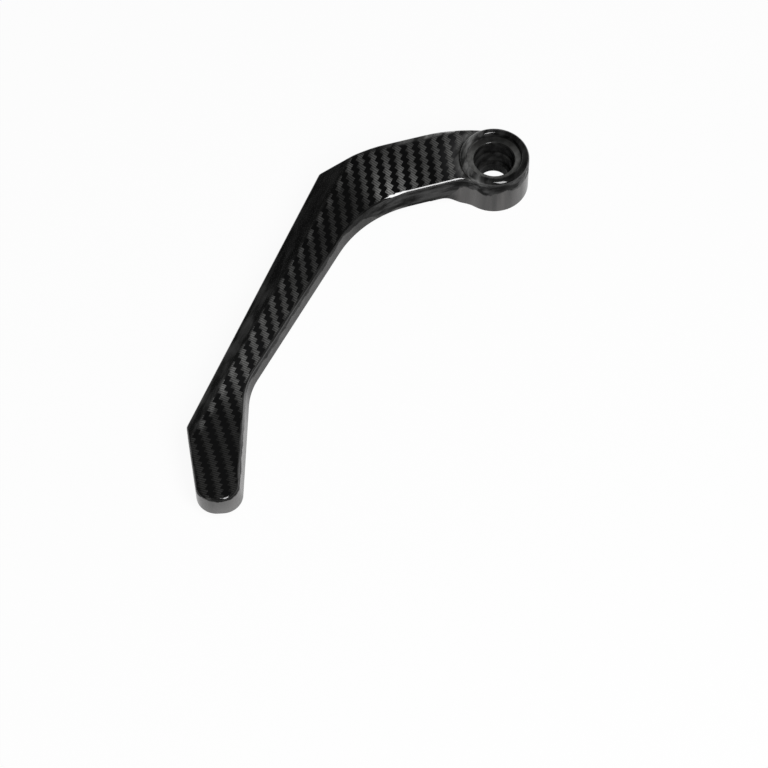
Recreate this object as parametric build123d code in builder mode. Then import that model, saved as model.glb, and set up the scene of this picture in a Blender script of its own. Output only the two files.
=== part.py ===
"""Brake lever guard: one moulded arm with a stepped eye for the bar-end plug.

Frame: origin on the eye's axis at its bar-side face, +Z along the eye towards the
plug's seat, +X along the run, the run and the knee lying towards -Y. Units are mm.
"""
from build123d import *
from math import cos, radians, sin, tan
import os

# Eye at the bar end
eye_d = 25.7
eye_height = 17.4
seat_d = 20.2
seat_depth = 2.4
cap_d = 14.8
cap_depth = 5.8
step_d = 13.4
step_depth = 4.8
screw_d = 11.0
mouth_break = 0.4
rim_lift = 2.4
rim_round = 1.6
rim_inner_round = 0.6

# Arm section
arm_thickness = 9.6
face_round = 1.0
under_round = 0.3
flare_margin = 2.1
flare_slope = 45.0
flare_r = 6.0
foot_round = 4.2

# Outer edge, from the eye to the tip
neck_angle = 74.0
neck_length = 15.7
neck_r = 60.0
shank_angle = 51.5
shank_length = 31.3
shank_r = 50.0
knee_angle = 41.9
run_offset = 57.9
run_length = 118.5
corner_r = 2.0
tip_angle = 31.3
tip_length = 31.5

# Inner edge, from the tip back to the eye
tip_width = 15.1
tip_lean = 1.4
tip_turn = 25.9
tip_flat = 0.4
kink_back = 25.6
kink_width = 12.75
kink_r = 25.0
knee_width = 21.6
inner_knee_r = 42.0
inner_shank_angle = 51.0
inner_shank_offset = 5.0
eye_blend_r = 9.0

# Facet along the run's outer edge
facet_width = 9.5
facet_taper = 2.4
facet_slope = 22.4
ridge_round = 6.0

arm_top = eye_height - rim_lift
arm_under = arm_top - arm_thickness
arm_middle = (arm_top + arm_under) / 2
eye_r = eye_d / 2
foot_r = eye_r + flare_margin
flare_end = foot_r + arm_under / tan(radians(flare_slope))
flare_reach = flare_end + flare_r
flare_top = arm_under + 2 * under_round
seat_z = eye_height - seat_depth
cap_floor = seat_z - cap_depth
step_floor = cap_floor - step_depth


def along(angle):
    """Gives the unit vector at an angle in degrees from +X."""
    return Vector(cos(radians(angle)), sin(radians(angle)))


def meet(p, d, q, e):
    """Gives the point where the line from p along d and the line from q along e cross."""
    gap = q - p
    return p + d * ((gap.X * e.Y - gap.Y * e.X) / (d.X * e.Y - d.Y * e.X))


# Corners of the outline, each from the ones before
neck_start = along(-neck_angle - 90) * eye_r
neck_end = neck_start + along(-neck_angle) * neck_length
shank_end = neck_end + along(-shank_angle) * shank_length
knee = meet(shank_end, along(-knee_angle), Vector(0, -run_offset), along(0))
run_end = knee + along(0) * run_length
tip_outer = run_end + along(tip_angle) * tip_length
tip_inner = tip_outer + along(tip_turn + 90) * tip_width
kink = run_end + Vector(-kink_back, kink_width)
knee_inside = knee + Vector(0, knee_width)
inner_start = along(90 - inner_shank_angle) * inner_shank_offset
inner_shank = along(-inner_shank_angle)
inner_knee = meet(inner_start, inner_shank, knee_inside, kink - knee_inside)
eye_corner = inner_start + inner_shank * (eye_r**2 - inner_shank_offset**2) ** 0.5


def lay_outline(lean):
    """Gives the arm's outline with the tip's inner edge set in by the lean."""
    tip_edge = (tip_inner - kink).normalized()
    set_in = kink + Vector(tip_edge.Y, -tip_edge.X) * lean
    turn = meet(kink, kink - inner_knee, set_in, tip_edge)
    tip_corner = meet(tip_outer, tip_inner - tip_outer, set_in, tip_edge)
    tip_r = (tip_width - lean - tip_flat) / 2
    with BuildSketch() as outline:
        with BuildLine():
            Polyline(
                inner_start, neck_start, neck_end, shank_end, knee, run_end,
                tip_outer, tip_corner, turn, inner_knee, close=True,
            )
        make_face()
        Circle(eye_r)
        fillet(vertices().sort_by_distance(eye_corner)[0], eye_blend_r)
        fillet(vertices().sort_by_distance(neck_end)[0], neck_r)
        fillet(vertices().sort_by_distance(shank_end)[0], shank_r)
        fillet(vertices().sort_by_distance(knee)[0], corner_r)
        fillet(vertices().sort_by_distance(run_end)[0], corner_r)
        fillet(vertices().sort_by_distance(tip_outer)[0], tip_r)
        fillet(vertices().sort_by_distance(tip_corner)[0], tip_r)
        fillet(vertices().sort_by_distance(turn)[0], kink_r)
        fillet(vertices().sort_by_distance(inner_knee)[0], inner_knee_r)
    return outline.sketch


under_outline = lay_outline(0)
face_outline = lay_outline(tip_lean)

# Eye with the concave flare into the underside, kept inside the outline
with BuildPart() as eye:
    with BuildSketch(Plane.XZ):
        with BuildLine():
            Polyline(
                (0, 0), (foot_r, 0), (flare_end, arm_under),
                (flare_reach, arm_under), (flare_reach, flare_top), (0, flare_top), close=True,
            )
        make_face()
        fillet(vertices().sort_by_distance((flare_end, arm_under))[0], flare_r)
        fillet(vertices().sort_by_distance((foot_r, 0))[0], foot_round)
    revolve(axis=Axis.Z)
    extrude(under_outline, amount=eye_height, mode=Mode.INTERSECT)

with BuildPart() as guard_arm:
    with BuildSketch(Plane.XY.offset(arm_under)):
        add(under_outline)
    with BuildSketch(Plane.XY.offset(arm_top)):
        add(face_outline)
    loft(ruled=True)
    reach = guard_arm.part.bounding_box().diagonal

    # Facet falling away to the run's outer edge
    ridge = Plane(
        origin=(knee.X, knee.Y + facet_width, arm_top),
        x_dir=tuple(along(-90 - facet_taper)),
        z_dir=tuple(along(180 - facet_taper)),
    )
    fall = reach * tan(radians(facet_slope))
    with BuildSketch(ridge):
        with BuildLine():
            Polyline((0, 0), (reach, 0), (reach, -fall), close=True)
        make_face()
    extrude(amount=reach, both=True, mode=Mode.SUBTRACT)

    # Rounded edges: the ridge, then the borders of the face and of the underside
    fillet(edges().filter_by(Axis(ridge.origin, ridge.z_dir)).sort_by(Axis.Z)[-1], ridge_round)
    walls = faces().filter_by(lambda f: abs(f.normal_at().Z) < 0.01)
    border = walls.edges().filter_by(lambda e: abs(e.tangent_at(0.5).Z) < 0.9)
    fillet(border.filter_by(lambda e: e.center().Z > arm_middle), face_round)
    fillet(faces().sort_by(Axis.Z)[0].edges(), under_round)
    add(eye.part)

    # Raised rim round the recessed seat
    with BuildSketch(Plane.XY.offset(arm_middle)):
        Circle(eye_r)
    extrude(amount=eye_height - arm_middle)
    rim_edge = edges().filter_by(GeomType.CIRCLE).sort_by(Axis.Z)[-1]
    fillet(rim_edge, rim_round)

    # Recessed seat and the stepped bore below it
    with BuildSketch(Plane.XY.offset(eye_height)):
        Circle(seat_d / 2)
    extrude(amount=-seat_depth, mode=Mode.SUBTRACT)
    with BuildSketch(Plane.XY.offset(seat_z)):
        Circle(cap_d / 2)
    extrude(amount=-cap_depth, mode=Mode.SUBTRACT)
    with BuildSketch(Plane.XY.offset(cap_floor)):
        Circle(step_d / 2)
    extrude(amount=-step_depth, mode=Mode.SUBTRACT)
    with BuildSketch(Plane.XY.offset(step_floor)):
        Circle(screw_d / 2)
    extrude(amount=-step_floor, mode=Mode.SUBTRACT)

    # Small edge breaks at the rim and the bore's mouth
    rings = edges().filter_by(GeomType.CIRCLE).sort_by(Axis.Z)
    fillet(rings.filter_by(lambda e: abs(e.radius - seat_d / 2) < 0.01)[-1], rim_inner_round)
    rings = edges().filter_by(GeomType.CIRCLE).sort_by(Axis.Z)
    chamfer(rings.filter_by(lambda e: abs(e.radius - cap_d / 2) < 0.01)[-1], mouth_break)

guard_arm.part.label = "guard_arm"
os.makedirs("parts", exist_ok=True)
export_step(guard_arm.part, "parts/guard_arm.step")
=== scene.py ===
"""Studio scene of a brake lever guard: one moulded arm in a twill film under a clear coat."""

from __future__ import annotations

import logging
import math
from dataclasses import dataclass, field
from enum import Enum
from typing import Any, Dict, List, Optional, Tuple, Union

import bpy
import numpy as np
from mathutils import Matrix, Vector

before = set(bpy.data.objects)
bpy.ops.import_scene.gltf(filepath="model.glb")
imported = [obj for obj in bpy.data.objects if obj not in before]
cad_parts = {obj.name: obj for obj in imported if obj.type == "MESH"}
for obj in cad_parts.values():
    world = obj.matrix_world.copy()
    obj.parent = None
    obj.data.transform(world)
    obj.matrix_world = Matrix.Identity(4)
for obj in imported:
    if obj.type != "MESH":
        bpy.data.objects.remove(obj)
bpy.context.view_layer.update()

LOG = logging.getLogger("guard")
MM = 0.001
PHOTO_PX = 768
RELIEF_M = 0.00005
HALF = 0.5
MIX_SHARE, MIX_FIRST, MIX_SECOND, MIX_RESULT = 0, 6, 7, 2

Colour = Tuple[float, float, float]
Place = Tuple[float, float]
Way = Tuple[float, float]
Ends = Tuple[float, float]
Numbers = Tuple[float, ...]
Term = Union["Wire", float]
Settings = Optional[Dict[str, Any]]
Inputs = Optional[Dict[Union[int, str], Any]]


class Ray(Enum):
    """Kinds of ray that see the paper as plain white."""

    CAMERA = "Is Camera Ray"
    GLOSSY = "Is Glossy Ray"
    TRANSMISSION = "Is Transmission Ray"


class Measure(Enum):
    """What a zone fades over: distances in millimetres, or parts of the way a surface faces."""

    X = "x"
    Y = "y"
    Z = "z"
    REACH = "reach"
    RIDGE = "ridge"
    ALONG = "along"
    ACROSS = "across"
    NECK = "neck"
    SEAT = "seat"
    UP = "up"
    BACK = "back"
    SIDE = "side"


class Wire:
    """A value socket that takes Python arithmetic and lays a Math node for each step."""

    def __init__(self, bench: Bench, socket: bpy.types.NodeSocket) -> None:
        """Keeps the socket and the bench whose tree it belongs to."""
        self.bench = bench
        self.socket = socket

    def __add__(self, other: Term) -> Wire:
        """Gives self + other."""
        return self.bench.math("ADD", self, other)

    def __radd__(self, other: Term) -> Wire:
        """Gives other + self."""
        return self.bench.math("ADD", other, self)

    def __sub__(self, other: Term) -> Wire:
        """Gives self - other."""
        return self.bench.math("SUBTRACT", self, other)

    def __rsub__(self, other: Term) -> Wire:
        """Gives other - self."""
        return self.bench.math("SUBTRACT", other, self)

    def __mul__(self, other: Term) -> Wire:
        """Gives self * other."""
        return self.bench.math("MULTIPLY", self, other)

    def __rmul__(self, other: Term) -> Wire:
        """Gives other * self."""
        return self.bench.math("MULTIPLY", other, self)

    def __truediv__(self, other: Term) -> Wire:
        """Gives self / other."""
        return self.bench.math("DIVIDE", self, other)

    def __mod__(self, other: Term) -> Wire:
        """Gives self modulo other, always between 0 and other."""
        return self.bench.math("FLOORED_MODULO", self, other)

    def __lt__(self, other: Term) -> Wire:
        """Gives 1 where self is under other, and 0 elsewhere."""
        return self.bench.math("LESS_THAN", self, other)

    def __abs__(self) -> Wire:
        """Gives the size of self without its sign."""
        return self.bench.math("ABSOLUTE", self)

    def floor(self) -> Wire:
        """Gives the whole number at or under self."""
        return self.bench.math("FLOOR", self)

    def root(self) -> Wire:
        """Gives the square root of self."""
        return self.bench.math("SQRT", self)

    def sine(self) -> Wire:
        """Gives the sine of self in radians."""
        return self.bench.math("SINE", self)

    def most(self, other: Term) -> Wire:
        """Gives the larger of self and other."""
        return self.bench.math("MAXIMUM", self, other)

    def clip(self) -> Wire:
        """Gives self held between 0 and 1."""
        return self.bench.wire("ShaderNodeClamp", None, {0: self})

    def swing(self, amount: float) -> Wire:
        """Gives a factor round 1 from a value round a half."""
        return 1.0 + amount * (self - HALF)

    def series(self, terms: Numbers) -> Wire:
        """Gives a polynomial in self.

        Args:
            terms: Factors of the powers of self, the constant first.

        Returns:
            The polynomial's value.
        """
        total: Term = terms[-1]
        for term in reversed(terms[:-1]):
            total = self * total + term
        return total

    def ease(self, zero: float, one: float) -> Wire:
        """Goes smoothly from 0 to 1.

        Args:
            zero: Value that gives 0, and so do those beyond it.
            one: Value that gives 1, which may be the smaller of the two.

        Returns:
            The eased value, held between 0 and 1.
        """
        settings = {"interpolation_type": "SMOOTHSTEP"}
        return self.bench.wire("ShaderNodeMapRange", settings, {0: self, 1: zero, 2: one})


class Bench:
    """A material's or a world's node tree, with one method that adds any node."""

    def __init__(self, tree: bpy.types.NodeTree) -> None:
        """Takes over a tree and clears it."""
        self.tree = tree
        self.tree.nodes.clear()

    def node(self, kind: str, settings: Settings = None, inputs: Inputs = None) -> bpy.types.Node:
        """Adds a node, sets its options, then its sockets.

        Args:
            kind: Blender's type name of the node.
            settings: Options of the node by attribute name, set first.
            inputs: Values or links by socket name or number.

        Returns:
            The new node.
        """
        node = self.tree.nodes.new(kind)
        for name, value in (settings or {}).items():
            setattr(node, name, value)
        for key, value in (inputs or {}).items():
            source = value.socket if isinstance(value, Wire) else value
            if isinstance(source, bpy.types.NodeSocket):
                self.tree.links.new(source, node.inputs[key])
            else:
                node.inputs[key].default_value = source
        return node

    def wire(
        self, kind: str, settings: Settings = None, inputs: Inputs = None, output: int = 0
    ) -> Wire:
        """Adds a node and wraps one of its outputs.

        Args:
            kind: Blender's type name of the node.
            settings: Options of the node by attribute name.
            inputs: Values or links by socket name or number.
            output: Number of the output to wrap.

        Returns:
            The wrapped output.
        """
        return Wire(self, self.node(kind, settings, inputs).outputs[output])

    def math(self, operation: str, *terms: Term) -> Wire:
        """Adds a Math node for the operation on the terms, in their order."""
        return self.wire("ShaderNodeMath", {"operation": operation}, dict(enumerate(terms)))

    def split(self, vector: Any) -> List[Wire]:
        """Gives the three parts of a vector."""
        parts = self.node("ShaderNodeSeparateXYZ", None, {0: vector})
        return [Wire(self, socket) for socket in parts.outputs]

    def blend(self, share: Term, first: Any, second: Any) -> Wire:
        """Mixes two colours.

        Args:
            share: 0 gives the first colour and 1 the second.
            first: Colour or link.
            second: Colour or link.

        Returns:
            The mixed colour.
        """
        inputs = {MIX_SHARE: share, MIX_FIRST: paint(first), MIX_SECOND: paint(second)}
        return self.wire("ShaderNodeMix", {"data_type": "RGBA"}, inputs, MIX_RESULT)

    def scale(self, vector: Any, amount: Term) -> Wire:
        """Multiplies a colour or a place by a value.

        Args:
            vector: Colour, place or link.
            amount: Factor, which may go over 1.

        Returns:
            The scaled colour or place.
        """
        inputs = {"Vector": vector, "Scale": amount}
        return self.wire("ShaderNodeVectorMath", {"operation": "SCALE"}, inputs)

    def relief(self, height: Wire, strength: float) -> Wire:
        """Gives the way the surface faces when it is bumped by a height."""
        inputs = {"Strength": strength, "Distance": RELIEF_M, "Height": height}
        return self.wire("ShaderNodeBump", None, inputs)

    def shader(self, kind: str, inputs: Inputs) -> bpy.types.NodeSocket:
        """Adds a shader node and gives its output."""
        return self.node(kind, None, inputs).outputs[0]

    def mix(
        self, share: Term, first: bpy.types.NodeSocket, second: bpy.types.NodeSocket
    ) -> bpy.types.NodeSocket:
        """Mixes two shaders: a share of 0 gives the first and 1 the second."""
        return self.shader("ShaderNodeMixShader", {0: share, 1: first, 2: second})


def paint(colour: Any) -> Any:
    """Adds full opacity to a plain colour, and passes a link through."""
    return (*colour, 1.0) if isinstance(colour, tuple) else colour


def new_material(name: str) -> Tuple[bpy.types.Material, Bench]:
    """Makes an empty node material.

    Args:
        name: Name of the material.

    Returns:
        The material and a bench on its tree.
    """
    material = bpy.data.materials.new(name)
    material.use_nodes = True
    return material, Bench(material.node_tree)


@dataclass(frozen=True)
class ArmLines:
    """Lines and ways of the arm that measures start from, in millimetres and degrees."""

    eye: Place = (0.0, 0.0)
    shank_angle: float = 51.0
    ridge_start: Place = (27.3, -48.4)
    ridge_taper: float = 2.4
    neck_way: Way = (0.34, -0.94)
    seat_way: Way = (0.92, 0.38)
    back_way: Way = (-0.78, -0.62)
    side_way: Way = (-1.0, 1.0)


class Spot:
    """The point being shaded: its place in millimetres and its measures.

    Reach is the distance from the eye's axis. Ridge is the distance from the facet's ridge, over 0
    on the flat face. Along and across run down the shank and towards its back edge. Neck and seat
    are distances from the eye's axis towards the neck and towards the seat's lit side. Up, back and
    side say how far the surface faces up, out from the back edge, and out from the tip's inner
    side.
    """

    def __init__(self, bench: Bench, lines: ArmLines) -> None:
        """Lays the nodes that read the place and the facing.

        Args:
            bench: Tree that takes the nodes.
            lines: Lines of the arm that the measures start from.
        """
        origin = bench.node("ShaderNodeTexCoord")
        self.place = bench.scale(origin.outputs["Object"], 1.0 / MM)
        self.x, self.y, self.z = bench.split(self.place)
        face_x, face_y, self.up = bench.split(origin.outputs["Normal"])
        shank = math.radians(lines.shank_angle)
        taper = math.radians(lines.ridge_taper)
        from_x = self.x - lines.ridge_start[0]
        from_y = self.y - lines.ridge_start[1]
        self.measures: Dict[Measure, Wire] = {
            Measure.X: self.x,
            Measure.Y: self.y,
            Measure.Z: self.z,
            Measure.REACH: self.gap(lines.eye),
            Measure.RIDGE: from_x * math.sin(taper) + from_y * math.cos(taper),
            Measure.ALONG: self.x * math.cos(shank) - self.y * math.sin(shank),
            Measure.ACROSS: self.x * -math.sin(shank) - self.y * math.cos(shank),
            Measure.NECK: self.x * lines.neck_way[0] + self.y * lines.neck_way[1],
            Measure.SEAT: self.x * lines.seat_way[0] + self.y * lines.seat_way[1],
            Measure.UP: self.up,
            Measure.BACK: face_x * lines.back_way[0] + face_y * lines.back_way[1],
            Measure.SIDE: face_x * lines.side_way[0] + face_y * lines.side_way[1],
        }

    def gap(self, place: Place) -> Wire:
        """Gives the distance from a place, seen from above.

        Args:
            place: Place on the face in millimetres.

        Returns:
            The distance in millimetres.
        """
        gap_x = self.x - place[0]
        gap_y = self.y - place[1]
        return (gap_x * gap_x + gap_y * gap_y).root()


@dataclass(frozen=True)
class Cloud:
    """A cloudy value round a half, which may be drawn out along a heading and upwards."""

    per_mm: float
    detail: float = 2.0
    heading: float = 0.0
    along: float = 1.0
    up: float = 1.0

    def over(self, bench: Bench, spot: Spot) -> Wire:
        """Lays the cloud.

        Args:
            bench: Tree that takes the nodes.
            spot: Point being shaded.

        Returns:
            The cloud's value.
        """
        turn = (0.0, 0.0, math.radians(self.heading))
        inputs = {"Vector": spot.place, "Rotation": turn, "Scale": (self.along, 1.0, self.up)}
        drawn = bench.wire("ShaderNodeMapping", {"vector_type": "TEXTURE"}, inputs)
        inputs = {"Vector": drawn, "Scale": self.per_mm, "Detail": self.detail}
        return bench.wire("ShaderNodeTexNoise", None, inputs)


@dataclass(frozen=True)
class Patches:
    """Separate patches, cut from a cloud at a floor and sharpened."""

    cloud: Cloud
    floor: float
    gain: float

    def over(self, bench: Bench, spot: Spot) -> Wire:
        """Gives 1 in the patches and 0 between them."""
        return (self.gain * (self.cloud.over(bench, spot) - self.floor)).clip()


@dataclass(frozen=True)
class Zone:
    """A soft-edged part of the arm, by what it fades over.

    Each pair of numbers is one fade of that measure, from 0 at the first to 1 at the second, either
    way round. The disc is a place on the face with one fade of the distance from it. A zone is the
    product of its fades.
    """

    x: Numbers = ()
    y: Numbers = ()
    z: Numbers = ()
    reach: Numbers = ()
    ridge: Numbers = ()
    along: Numbers = ()
    across: Numbers = ()
    neck: Numbers = ()
    seat: Numbers = ()
    up: Numbers = ()
    back: Numbers = ()
    side: Numbers = ()
    disc: Optional[Tuple[Place, float, float]] = None

    def over(self, spot: Spot) -> Wire:
        """Works out how far a point lies in the zone.

        Args:
            spot: Point being shaded.

        Returns:
            The product of the fades, between 0 and 1.
        """
        share: Term = 1.0
        for measure, wire in spot.measures.items():
            ends = getattr(self, measure.value)
            for zero, one in zip(ends[::2], ends[1::2]):
                share = share * wire.ease(zero, one)
        if self.disc is not None:
            place, zero, one = self.disc
            share = share * spot.gap(place).ease(zero, one)
        return share


class Area(Enum):
    """The arm's areas by name."""

    # By facing
    TOP = Zone(up=(0.04, 0.30))
    UNDERNEATH = Zone(up=(-0.3, -0.7))
    OUTER_WALL = Zone(reach=(7.7, 7.8), up=(0.6, 0.3))

    # Eye and neck
    BORE = Zone(reach=(7.6, 7.0))
    OUTSIDE_BORE = Zone(reach=(7.5, 7.8))
    SEAT = Zone(reach=(7.65, 7.75, 10.1, 9.9), z=(14.7, 14.9, 15.3, 15.1))
    LIT_SEAT = Zone(seat=(-8.5, 0.5))
    LIP = Zone(z=(15.0, 15.4))
    BY_EYE = Zone(reach=(23.0, 14.0))
    NECK = Zone(x=(12.0, 4.0))
    NECK_END = Zone(neck=(-1.0, 11.0), reach=(30.0, 16.0), z=(14.4, 14.8))
    PALE_PATCH = Zone(disc=((-6.0, -16.0), 9.0, 2.0), z=(14.4, 14.8))

    # Shank
    SHANK = Zone(x=(36.0, 18.0))
    SHANK_WALL = Zone(reach=(13.5, 20.0), x=(41.0, 33.0))
    # Painted reflection: the rounding that faces out from the back edge, lightened through the
    # smears
    PAINTED_BACK_EDGE_REFLECTION = Zone(back=(0.05, 0.30), up=(0.2, 0.5), x=(24.0, 12.0))
    BACK_STRIP = Zone(across=(15.0, 16.6), reach=(17.0, 21.0), x=(26.0, 14.0))
    SMEARED_STRIP = Zone(
        across=(15.0, 16.6), reach=(17.0, 21.0), x=(26.0, 14.0, 14.0, 4.0), up=(0.2, 0.5)
    )
    BEAD = Zone(
        along=(12.5, 14.5, 44.3, 43.7), across=(-7.6, -7.2, -3.6, -3.8), up=(0.945, 0.925)
    )
    BEAD_SWELL = Zone(along=(34.0, 39.0))
    BEAD_WEDGE = Zone(along=(40.0, 44.0))

    # Knee and run
    # Two discs at the bend that carry only painted sheen on the light tows
    PAINTED_SHEEN_BEND = Zone(disc=((25.0, -29.5), 16.0, 3.0))
    PAINTED_SHEEN_SPOT = Zone(disc=((28.5, -30.0), 7.0, 1.0))
    KNEE_EDGE = Zone(x=(32.0, 40.0, 90.0, 60.0), up=(0.95, 0.6), ridge=(3.0, 5.0))
    RUN = Zone(x=(34.0, 42.0))
    RUN_WALL = Zone(x=(34.0, 42.0, 140.0, 120.0))
    FAR_RUN = Zone(x=(52.0, 130.0, 140.0, 120.0))
    FACET = Zone(x=(60.0, 110.0), up=(0.5, 0.8))
    RIDGE = Zone(ridge=(-1.9, -0.1, 2.5, 0.7), x=(152.0, 144.0))
    FAR_RIDGE = Zone(ridge=(-1.9, -0.1, 2.5, 0.7), x=(152.0, 144.0, 112.0, 128.0))
    WOVEN = Zone(reach=(12.65, 16.35), up=(0.90, 0.99))
    WOVEN_FACE = Zone(ridge=(-1.6, 0.2))

    # Tip
    TIP = Zone(x=(125.0, 145.0))
    TIP_WALL = Zone(x=(136.0, 148.0), up=(0.5, 0.3))
    TIP_SIDE = Zone(side=(0.4, 0.9), x=(118.0, 138.0))
    TIP_END = Zone(x=(150.0, 170.0))
    TIP_EDGE = Zone(x=(152.0, 162.0))
    TIP_INNER = Zone(y=(-44.0, -33.0))
    TIP_LOW = Zone(z=(13.0, 6.0))

    def over(self, spot: Spot) -> Wire:
        """Gives 1 in the area and 0 outside it, with a soft edge."""
        return self.value.over(spot)


@dataclass(frozen=True)
class Level:
    """A value that is plain over most of the arm, and higher or lower in some areas."""

    plain: float
    changes: Tuple[Tuple[float, Area], ...]

    def over(self, spot: Spot) -> Wire:
        """Adds each area's change to the plain value.

        Args:
            spot: Point being shaded.

        Returns:
            The value at the point.
        """
        total: Term = self.plain
        for change, area in self.changes:
            total = total + change * area.over(spot)
        return total


@dataclass(frozen=True)
class Twill:
    """A two-by-two twill, drawn askew where the film bends round the knee."""

    middle_mm: Place = (80.0, -45.0)
    unit_mm: Place = (80.0, 10.0)
    along_line: Numbers = (0.0150, 19.2174, 1.4173, 0.6995, -0.4525)
    along_turn: Numbers = (2.7863, 0.1859, -0.3247, 0.2981, 0.4164)
    across_line: Numbers = (0.2483, -9.6052, -0.5891, 0.2763, 0.1954)
    across_turn: Numbers = (2.0235, -0.3677, -0.8327, 0.2073, 0.5321)
    tows_across: float = 2.0
    tows_in_repeat: float = 4.0
    tows_over: float = 2.0
    threads: float = 2.4
    thread_depth: float = 0.8
    thread_break: float = 0.4
    speck_swing: float = 0.3
    cloud: Cloud = Cloud(0.09)
    cloud_swing: float = 0.4
    band_shift: float = 0.25
    crown: float = 1.1
    side_drop: float = 0.5
    side_fade: Ends = (0.16, 0.36)

    def bands(self, spot: Spot) -> Tuple[Wire, Wire]:
        """Works out where a point lies along and across the twill's bands.

        With t = (x - middle x) / unit x and w = (y - middle y) / unit y, each of the two is
        line(t) + turn(t) w, where line and turn are quartics: the bands swing and spread as the
        film is drawn round.

        Args:
            spot: Point being shaded.

        Returns:
            Teeth along the bands and pairs of bands across them.
        """
        t = (spot.x - self.middle_mm[0]) * (1.0 / self.unit_mm[0])
        w = (spot.y - self.middle_mm[1]) * (1.0 / self.unit_mm[1])
        along = t.series(self.along_line) + t.series(self.along_turn) * w
        across = t.series(self.across_line) + t.series(self.across_turn) * w
        return along, across

    def lay(self, bench: Bench, spot: Spot) -> Tuple[Wire, Wire]:
        """Lays the twill.

        Args:
            bench: Tree that takes the nodes.
            spot: Point being shaded.

        Returns:
            1 on the light tows and 0 on the dark ones, then the tone within a tow, round 1.
        """
        along, across = self.bands(spot)
        warp = along + self.tows_across * across
        weft = along - self.tows_across * across
        tow, cross_tow = warp.floor(), weft.floor()
        lit = ((tow - cross_tow) % self.tows_in_repeat) < self.tows_over

        turn = 2.0 * math.pi * self.threads
        whole = 1.0 - self.thread_break
        strand = (turn * weft).sine() * (whole + self.thread_break * (turn * warp).sine())
        cell = bench.wire("ShaderNodeCombineXYZ", None, {0: tow, 1: cross_tow})
        speck = bench.wire("ShaderNodeTexWhiteNoise", {"noise_dimensions": "2D"}, {0: cell})
        aside = abs((across + self.band_shift) % 1.0 - HALF)
        tone = (1.0 + self.thread_depth * strand) * speck.swing(self.speck_swing)
        tone = tone * self.cloud.over(bench, spot).swing(self.cloud_swing)
        return lit, tone * (self.crown - self.side_drop * aside.ease(*self.side_fade))


@dataclass(frozen=True)
class Smears:
    """The print's smears, where the weave runs out, raised on the back edge's rounding as a painted
    reflection.
    """

    grey: Colour = (0.0130, 0.0130, 0.0128)
    ground: float = 0.2
    veil: float = 0.08
    patches: Patches = Patches(Cloud(0.35, detail=4.0, along=4.0), floor=0.42, gain=3.0)
    grain_swing: float = 0.8
    amount: Level = Level(
        1.5,
        (
            (16.0, Area.NECK_END),
            (0.6, Area.LIP),
            (2.0, Area.BORE),
            (8.0, Area.PAINTED_BACK_EDGE_REFLECTION),
            (4.0, Area.FACET),
            (30.0, Area.PALE_PATCH),
            (15.0, Area.SMEARED_STRIP),
        ),
    )

    def lay(self, bench: Bench, spot: Spot, grain: Wire) -> Wire:
        """Lays the smears.

        Args:
            bench: Tree that takes the nodes.
            spot: Point being shaded.
            grain: Fine cloud that roughens the patches.

        Returns:
            The smears' colour.
        """
        patch = self.patches.over(bench, spot) * grain.swing(self.grain_swing)
        return bench.scale(self.grey, self.ground + (self.veil + patch) * self.amount.over(spot))


@dataclass(frozen=True)
class ClearCoat:
    """A clear gloss coat, whole on top and wiped thin on the walls.

    Underneath, where no film shows, it keeps one plain weight, for a baked model that carries the
    film's shader alone.
    """

    roughness: float = 0.04
    ior: float = 1.5
    under_weight: float = 0.4
    wiped: Patches = Patches(
        Cloud(0.40, detail=4.0, heading=-55.0, along=5.0), floor=0.47, gain=6.0
    )
    on_walls: Level = Level(0.55, ((-0.45, Area.RUN),))
    on_tip: Level = Level(1.0, ((-0.9, Area.TIP_WALL),))
    on_knee: Level = Level(1.0, ((-0.8, Area.KNEE_EDGE),))

    def weight(self, bench: Bench, spot: Spot) -> Wire:
        """Works out how much coat lies at a point.

        Args:
            bench: Tree that takes the nodes.
            spot: Point being shaded.

        Returns:
            The coat's weight, between 0 and 1.
        """
        wall = self.on_walls.over(spot) * self.wiped.over(bench, spot)
        coat = wall + (1.0 - wall) * Area.TOP.over(spot)
        coat = coat * self.on_tip.over(spot) * self.on_knee.over(spot)
        coat = coat + (self.under_weight - coat) * Area.UNDERNEATH.over(spot)
        return coat * Area.OUTSIDE_BORE.over(spot)


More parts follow.
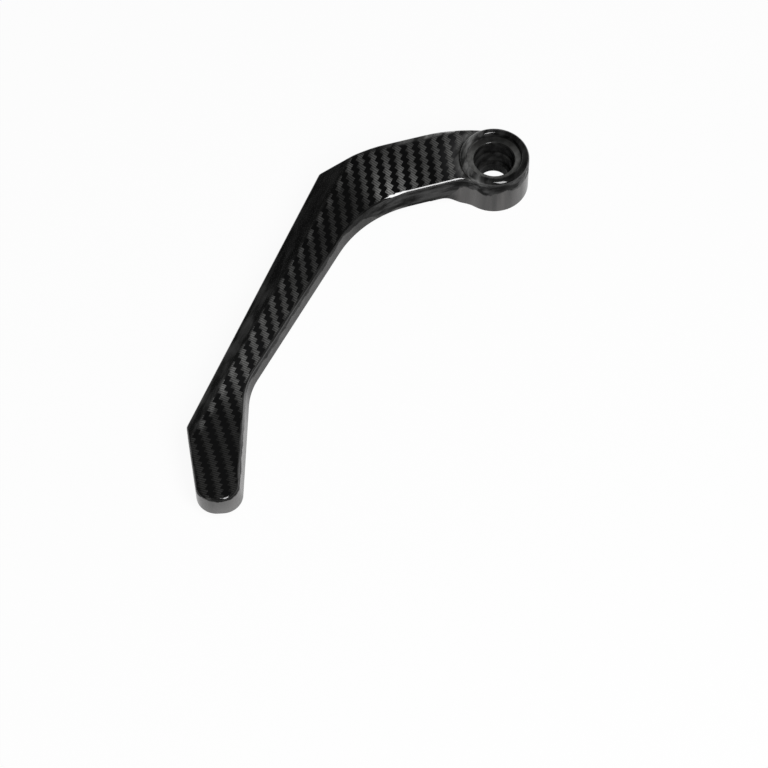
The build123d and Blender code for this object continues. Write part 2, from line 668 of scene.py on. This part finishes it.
@dataclass(frozen=True)
class TwillFilm:
    """A printed twill film under a clear coat, which runs out in smears, with painted sheen on its
    light tows.
    """

    twill: Twill = Twill()
    smears: Smears = Smears()
    coat: ClearCoat = ClearCoat()
    grain: Cloud = Cloud(0.55, detail=4.0)
    light_tow: Colour = (0.0270, 0.0270, 0.0264)
    # Painted sheen: the light tows are lighter on the shank, near the eye, along the ridge, on the
    # far run and in two patches at the bend
    light_tow_painted_sheen: Level = Level(
        1.0,
        (
            (1.75, Area.SHANK),
            (3.9, Area.FAR_RUN),
            (2.2, Area.BY_EYE),
            (1.2, Area.RIDGE),
            (2.0, Area.FAR_RIDGE),
            (3.0, Area.PAINTED_SHEEN_BEND),
            (6.0, Area.PAINTED_SHEEN_SPOT),
        ),
    )
    dark_tow: Colour = (0.0030, 0.0030, 0.0031)
    dark_level: Level = Level(
        1.0, ((0.8, Area.NECK), (6.0, Area.BY_EYE), (1.8, Area.FAR_RUN), (0.5, Area.TIP))
    )
    past_ridge: Level = Level(0.10, ((0.90, Area.WOVEN_FACE),))
    on_strip: Level = Level(1.0, ((-0.85, Area.BACK_STRIP),))
    light_roughness: float = 0.38
    dark_roughness: float = 0.48
    grain_roughness: float = 0.10
    light_metal: float = 0.35
    gloss: float = 0.03
    bump: float = 0.10
    tow_lift: float = 0.3

    def shade(self, bench: Bench, spot: Spot) -> bpy.types.NodeSocket:
        """Lays the film's shader.

        Args:
            bench: Tree that takes the nodes.
            spot: Point being shaded.

        Returns:
            The shader's output.
        """
        grain = self.grain.over(bench, spot)
        lit, tone = self.twill.lay(bench, spot)
        shown = self.shown(spot)
        light = lit * shown
        # The light tows' colour carries the painted sheen
        light_tow = bench.scale(self.light_tow, tone * self.light_tow_painted_sheen.over(spot))
        dark_tow = bench.scale(self.dark_tow, self.dark_level.over(spot))
        ground = bench.blend(shown, self.smears.lay(bench, spot, grain), dark_tow)
        rough = self.dark_roughness + (self.light_roughness - self.dark_roughness) * light
        inputs = {
            "Base Color": bench.blend(light, ground, light_tow),
            "Metallic": self.light_metal * light,
            "Roughness": rough + self.grain_roughness * (grain - HALF),
            "Specular IOR Level": self.gloss,
            "Coat Weight": self.coat.weight(bench, spot),
            "Coat Roughness": self.coat.roughness,
            "Coat IOR": self.coat.ior,
            "Normal": bench.relief(grain + self.tow_lift * light, self.bump),
        }
        return bench.shader("ShaderNodeBsdfPrincipled", inputs)

    def shown(self, spot: Spot) -> Wire:
        """Gives how much weave shows: 1 on the flat face, less on the facet, 0 on walls and eye."""
        return self.past_ridge.over(spot) * Area.WOVEN.over(spot) * self.on_strip.over(spot)


@dataclass(frozen=True)
class BareMoulding:
    """Black plastic as it left the mould, where the film doesn't reach, with painted light on the
    tip's walls and on the seat's lit side.
    """

    black: Colour = (0.0030, 0.0028, 0.0027)
    grey: Colour = (0.075, 0.071, 0.069)
    streaks: Cloud = Cloud(0.22, up=10.0)
    streak_gain: float = 3.0
    streak_floor: float = 1.0
    under_streak: float = 0.45
    under_calm: float = 0.8
    # Painted light: a lighter grey on the tip's end wall, lighter towards the bottom and the inner
    # side, and on the wall facing out from the tip's inner side
    tip: Colour = (0.160, 0.157, 0.155)
    tip_end_painted_light: Level = Level(0.10, ((0.45, Area.TIP_INNER), (0.35, Area.TIP_LOW)))
    tip_side_painted_light: float = 0.55
    # Painted light: the seat is lighter towards its lit side and darker on the far side
    seat: Colour = (0.090, 0.090, 0.087)
    seat_painted_light: Level = Level(0.15, ((0.85, Area.LIT_SEAT),))
    grain: Cloud = Cloud(1.4, detail=3.0)
    grain_share: float = 0.6
    mottle: Cloud = Cloud(0.45, detail=3.0)
    mottle_share: float = 2.0
    seat_floor: float = 0.2
    low_roughness: float = 0.14
    high_roughness: float = 0.34
    seat_roughness: float = 0.2
    gloss: float = 0.42
    bump: float = 0.15
    wander: Cloud = Cloud(0.16, detail=4.0, up=2.5)
    wander_mm: float = 8.0
    film_edge_mm: Ends = (11.2, 10.4)
    film_reach: Level = Level(
        0.0, ((4.5, Area.SHANK_WALL), (-0.8, Area.RUN), (-1.6, Area.TIP_EDGE))
    )
    haze: Level = Level(1.0, ((-0.6, Area.RUN_WALL), (-0.6, Area.SHANK_WALL)))

    def shade(self, bench: Bench, spot: Spot) -> bpy.types.NodeSocket:
        """Lays the plastic's shader, streaked along the mould's draw.

        Args:
            bench: Tree that takes the nodes.
            spot: Point being shaded.

        Returns:
            The shader's output.
        """
        streak = self.streaks.over(bench, spot)
        calmed = self.under_calm * (self.under_streak - streak)
        streak = streak + calmed * Area.UNDERNEATH.over(spot)
        light = (self.streak_gain * streak - self.streak_floor).clip()
        colour = bench.blend(light, self.black, self.grey)

        # Painted light on the tip's end wall and its inner side wall
        tip_end_painted_light = self.tip_end_painted_light.over(spot) * Area.TIP_END.over(spot)
        tip_side_painted_light = self.tip_side_painted_light * Area.TIP_SIDE.over(spot)
        colour = bench.blend(tip_end_painted_light.most(tip_side_painted_light), colour, self.tip)

        grain = self.grain.over(bench, spot)
        mottle = self.mottle.over(bench, spot)
        worn = self.grain_share * grain + self.mottle_share * mottle - self.seat_floor
        # The seat's colour carries painted light on its lit side, with a random mottle
        seat = bench.scale(self.seat, self.seat_painted_light.over(spot) * worn)
        on_seat = Area.SEAT.over(spot)
        spread = self.high_roughness - self.low_roughness
        inputs = {
            "Base Color": bench.blend(on_seat, colour, seat),
            "Roughness": self.low_roughness + spread * streak + self.seat_roughness * on_seat,
            "Specular IOR Level": self.gloss,
            "Normal": bench.relief(grain, self.bump),
        }
        return bench.shader("ShaderNodeBsdfPrincipled", inputs)

    def bare(self, bench: Bench, spot: Spot) -> Wire:
        """Works out where the plastic is bare: low on the walls, underneath and on the seat.

        Args:
            bench: Tree that takes the nodes.
            spot: Point being shaded.

        Returns:
            1 on bare plastic and 0 under the film.
        """
        wander = self.wander_mm * (self.wander.over(bench, spot) - HALF)
        height = spot.z + wander + self.film_reach.over(spot)
        low = height.ease(*self.film_edge_mm) * self.haze.over(spot)
        wall = low * Area.OUTER_WALL.over(spot)
        return wall.most(Area.SEAT.over(spot)).most(Area.UNDERNEATH.over(spot))


@dataclass(frozen=True)
class EdgeBead:
    """A flat bead of clear coat that has run along the shank's front edge towards the knee."""

    black: Colour = (0.0040, 0.0040, 0.0040)
    lean: Tuple[float, float, float] = (0.4241, 0.3405, 0.8392)
    roughness: float = 0.12
    gloss: float = 1.0
    least_up: Level = Level(0.80, ((-0.28, Area.BEAD_SWELL), (0.40, Area.BEAD_WEDGE)))
    edge: Ends = (0.0, 0.06)

    def shade(self, bench: Bench) -> bpy.types.NodeSocket:
        """Lays the bead's shader, which faces one way all along the edge.

        Args:
            bench: Tree that takes the nodes.

        Returns:
            The shader's output.
        """
        turned = {"vector_type": "NORMAL", "convert_from": "OBJECT", "convert_to": "WORLD"}
        inputs = {
            "Base Color": paint(self.black),
            "Roughness": self.roughness,
            "Specular IOR Level": self.gloss,
            "Normal": bench.wire("ShaderNodeVectorTransform", turned, {0: self.lean}),
        }
        return bench.shader("ShaderNodeBsdfPrincipled", inputs)

    def laid(self, spot: Spot) -> Wire:
        """Gives 1 on the bead, which swells on the edge's rounding and ends in a wedge."""
        rounding = (spot.up - self.least_up.over(spot)).ease(*self.edge)
        return Area.BEAD.over(spot) * rounding


@dataclass(frozen=True)
class ArmSkin:
    """The arm's whole surface: film on top, bare plastic below, and a bead on one edge."""

    name: str = "arm_skin"
    lines: ArmLines = ArmLines()
    film: TwillFilm = TwillFilm()
    moulding: BareMoulding = BareMoulding()
    bead: EdgeBead = EdgeBead()
    least_cover: float = 0.0001

    def lay(self) -> bpy.types.Material:
        """Builds the material, with the film first, as it covers most of what shows.

        Returns:
            The finished material.
        """
        material, bench = new_material(self.name)
        spot = Spot(bench, self.lines)
        bare = self.moulding.bare(bench, spot)
        bead = self.bead.laid(spot)
        covered = bare + bead - bare * bead
        share = bead / covered.most(self.least_cover)
        film = self.film.shade(bench, spot)
        cover = bench.mix(share, self.moulding.shade(bench, spot), self.bead.shade(bench))
        skin = bench.mix(covered, film, cover)
        bench.node("ShaderNodeOutputMaterial", None, {"Surface": skin})
        return material


@dataclass(frozen=True)
class WhitePaper:
    """White paper that glows to the camera and in gloss, and still takes a shadow."""

    name: str = "white_paper"
    colour: Colour = (0.90, 0.90, 0.90)
    white: Colour = (1.0, 1.0, 1.0)
    glow: float = 0.94

    def lay(self) -> bpy.types.Material:
        """Builds the material.

        Returns:
            The finished material.
        """
        material, bench = new_material(self.name)
        path = bench.node("ShaderNodeLightPath")
        seen = Wire(bench, path.outputs[Ray.CAMERA.value])
        for ray in (Ray.GLOSSY, Ray.TRANSMISSION):
            seen = seen.most(Wire(bench, path.outputs[ray.value]))
        matt = bench.shader("ShaderNodeBsdfDiffuse", {"Color": paint(self.colour)})
        white = bench.shader("ShaderNodeEmission", {"Color": paint(self.white), "Strength": 1.0})
        paper = bench.mix(seen * self.glow, matt, white)
        bench.node("ShaderNodeOutputMaterial", None, {"Surface": paper})
        return material


@dataclass
class GuardArm:
    """The moulded arm, which keeps its own solid and takes the skin."""

    node: str = "guard_arm"
    skin: ArmSkin = field(default_factory=ArmSkin)

    def dress(self) -> bpy.types.Object:
        """Puts the skin on the arm's own mesh.

        Returns:
            The arm's object.
        """
        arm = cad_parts[self.node]
        skin = self.skin.lay()
        for slot in arm.material_slots:
            slot.material = skin
        return arm


@dataclass
class Floor:
    """A round sheet of white paper under the arm."""

    name: str = "paper_floor"
    radius: float = 6.0
    height: float = -0.0002
    rings: int = 12
    spokes: int = 48
    paper: WhitePaper = field(default_factory=WhitePaper)

    def build(self) -> bpy.types.Object:
        """Builds the sheet as a disc, r and a on a grid: (r cos a, r sin a, height).

        Returns:
            The floor's object.
        """
        angle = np.linspace(0.0, 2.0 * np.pi, self.spokes, endpoint=False)
        reach = self.radius * np.linspace(0.0, 1.0, self.rings + 1)[1:]
        grid = np.stack([np.outer(reach, np.cos(angle)), np.outer(reach, np.sin(angle))], axis=-1)
        points = np.concatenate([np.zeros((1, 2)), grid.reshape(-1, 2)])
        points = np.column_stack([points, np.full(len(points), self.height)])

        spoke = np.arange(self.spokes)
        after = (spoke + 1) % self.spokes
        inner = 1 + np.arange(self.rings - 1)[:, None] * self.spokes
        outer = inner + self.spokes
        quads = np.stack([inner + spoke, outer + spoke, outer + after, inner + after], axis=-1)
        fan = np.stack([np.zeros_like(spoke), 1 + spoke, 1 + after], axis=-1)

        mesh = bpy.data.meshes.new(self.name)
        mesh.from_pydata(points.tolist(), [], quads.reshape(-1, 4).tolist() + fan.tolist())
        floor = bpy.data.objects.new(self.name, mesh)
        bpy.context.scene.collection.objects.link(floor)
        mesh.materials.append(self.paper.lay())
        return floor


@dataclass(frozen=True)
class Panel:
    """A soft light panel, placed round the point the camera looks at."""

    name: str
    heading: float
    elevation: float
    distance: float
    width: float
    height: float
    watts: float


@dataclass
class Studio:
    """Camera, light panels and dim room round the arm."""

    target: Tuple[float, float, float] = (0.096439, -0.003938, 0.0)
    azimuth: float = 22.408
    elevation: float = 58.163
    distance: float = 1.2
    focal_px: float = 3367.44
    sensor_mm: float = 36.0
    nearest: float = 0.01
    room: Colour = (0.035, 0.035, 0.035)
    panels: Tuple[Panel, ...] = (
        Panel(
            "tall_panel",
            heading=31.0,
            elevation=54.0,
            distance=1.1,
            width=0.36,
            height=0.90,
            watts=13.0,
        ),
    )

    def away(self, heading: float, elevation: float, distance: float) -> Vector:
        """Finds a point round the target.

        Args:
            heading: Degrees anticlockwise from the camera's side, seen from above.
            elevation: Degrees above the floor.
            distance: Metres from the target.

        Returns:
            The point.
        """
        turn = math.radians(self.azimuth + heading)
        lift = math.radians(elevation)
        flat = math.cos(lift)
        way = Vector((flat * math.cos(turn), flat * math.sin(turn), math.sin(lift)))
        return Vector(self.target) + distance * way

    def aim(self, item: bpy.types.Object, place: Vector) -> None:
        """Puts a camera or light at a place, looking at the target with its top up."""
        item.location = place
        item.rotation_euler = (Vector(self.target) - place).to_track_quat("-Z", "Y").to_euler()

    def set_camera(self) -> bpy.types.Object:
        """Places the camera at the photograph's viewing angle.

        Returns:
            The camera's object.
        """
        lens = bpy.data.cameras.new("studio_camera")
        lens.sensor_fit = "HORIZONTAL"
        lens.sensor_width = self.sensor_mm
        lens.lens = self.sensor_mm * self.focal_px / PHOTO_PX
        lens.clip_start = self.nearest
        camera = bpy.data.objects.new("studio_camera", lens)
        self.aim(camera, self.away(0.0, self.elevation, self.distance))
        bpy.context.scene.collection.objects.link(camera)
        bpy.context.scene.camera = camera
        return camera

    def set_lights(self) -> None:
        """Hangs the light panels and dims the room."""
        for panel in self.panels:
            lamp = bpy.data.lights.new(panel.name, "AREA")
            lamp.shape = "RECTANGLE"
            lamp.size = panel.width
            lamp.size_y = panel.height
            lamp.energy = panel.watts
            light = bpy.data.objects.new(panel.name, lamp)
            self.aim(light, self.away(panel.heading, panel.elevation, panel.distance))
            light.visible_camera = False
            bpy.context.scene.collection.objects.link(light)
        world = bpy.data.worlds.new("dim_room")
        world.use_nodes = True
        bench = Bench(world.node_tree)
        room = bench.shader("ShaderNodeBackground", {"Color": paint(self.room), "Strength": 1.0})
        bench.node("ShaderNodeOutputWorld", None, {"Surface": room})
        bpy.context.scene.world = world


def main() -> None:
    """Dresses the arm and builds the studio."""
    logging.basicConfig(level=logging.INFO)
    arm = GuardArm().dress()
    LOG.info("arm: %s with %d faces", arm.name, len(arm.data.polygons))
    floor = Floor().build()
    LOG.info("floor: %s", floor.name)
    studio = Studio()
    camera = studio.set_camera()
    studio.set_lights()
    LOG.info("studio: %s and %d panels", camera.name, len(studio.panels))
    bpy.context.scene.view_settings.view_transform = "Standard"
    LOG.info("boxes written")


if __name__ == "__main__":
    main()
